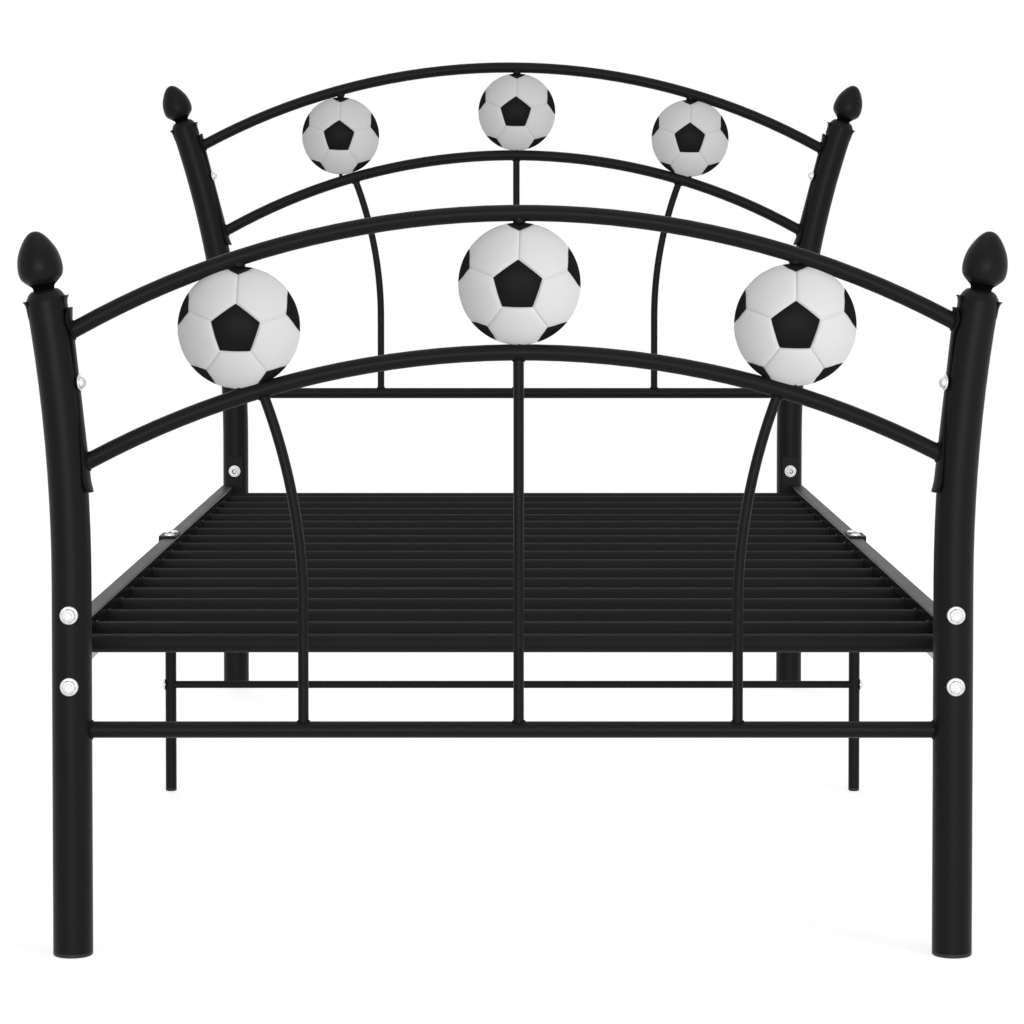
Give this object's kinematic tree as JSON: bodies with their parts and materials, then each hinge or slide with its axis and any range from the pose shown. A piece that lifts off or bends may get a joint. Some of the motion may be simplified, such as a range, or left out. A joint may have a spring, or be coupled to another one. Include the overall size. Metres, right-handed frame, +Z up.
{
  "type": "single bed frame",
  "caption": "Knock-down single bed frame of black steel tube, with bent posts, arched end panels holding football ornaments, side rails, cross slats and middle legs.",
  "frame": {"origin": "on the floor, under the middle of the bed", "axes": "+X to the right seen from the foot, +Y from foot to head, +Z up"},
  "size_m": [1.1778, 2.12, 1.0522],
  "materials": {
    "black_steel": "satin black powder coat",
    "black_moulding": "satin black moulding",
    "football_shell": "white moulded shell with black panels",
    "zinc_steel": "bright zinc plate",
    "glide_plastic": "plain black plastic"
  },
  "bodies": {
    "root": {"ball_hangers": "black_steel", "finial_studs": "zinc_steel", "foot_ball_backs": "football_shell", "foot_ball_front_left": "football_shell", "foot_ball_front_middle": "football_shell", "foot_ball_front_right": "football_shell", "foot_collar_left": "black_moulding", "foot_collar_right": "black_moulding", "foot_cross_bar": "black_steel", "foot_finial_left": "black_moulding", "foot_finial_right": "black_moulding", "foot_lower_arch": "black_steel", "foot_post_left": "black_steel", "foot_post_right": "black_steel", "foot_rail_left": "black_steel", "foot_rail_right": "black_steel", "foot_saddle_left": "black_steel", "foot_saddle_right": "black_steel", "foot_slats": "black_steel", "foot_spindle_left": "black_steel", "foot_spindle_middle": "black_steel", "foot_spindle_right": "black_steel", "foot_upper_arch": "black_steel", "head_ball_backs": "football_shell", "head_ball_front_left": "football_shell", "head_ball_front_middle": "football_shell", "head_ball_front_right": "football_shell", "head_collar_left": "black_moulding", "head_collar_right": "black_moulding", "head_cross_bar": "black_steel", "head_finial_left": "black_moulding", "head_finial_right": "black_moulding", "head_lower_arch": "black_steel", "head_post_left": "black_steel", "head_post_right": "black_steel", "head_rail_left": "black_steel", "head_rail_right": "black_steel", "head_saddle_left": "black_steel", "head_saddle_right": "black_steel", "head_slats": "black_steel", "head_spindle_left": "black_steel", "head_spindle_middle": "black_steel", "head_spindle_right": "black_steel", "head_upper_arch": "black_steel", "inner_washers": "zinc_steel", "leg_glides": "glide_plastic", "leg_screws": "zinc_steel", "leg_spreader": "black_steel", "leg_top_plates": "black_steel", "middle_leg_left": "black_steel", "middle_leg_right": "black_steel", "outer_washers": "zinc_steel", "post_glides": "glide_plastic", "rail_bolts": "zinc_steel", "rail_end_plates": "black_steel", "rail_nuts": "zinc_steel", "saddle_screws": "zinc_steel", "splice_bolts": "zinc_steel", "splice_nuts": "zinc_steel", "splice_straps": "black_steel"}
  },
  "joints": []
}
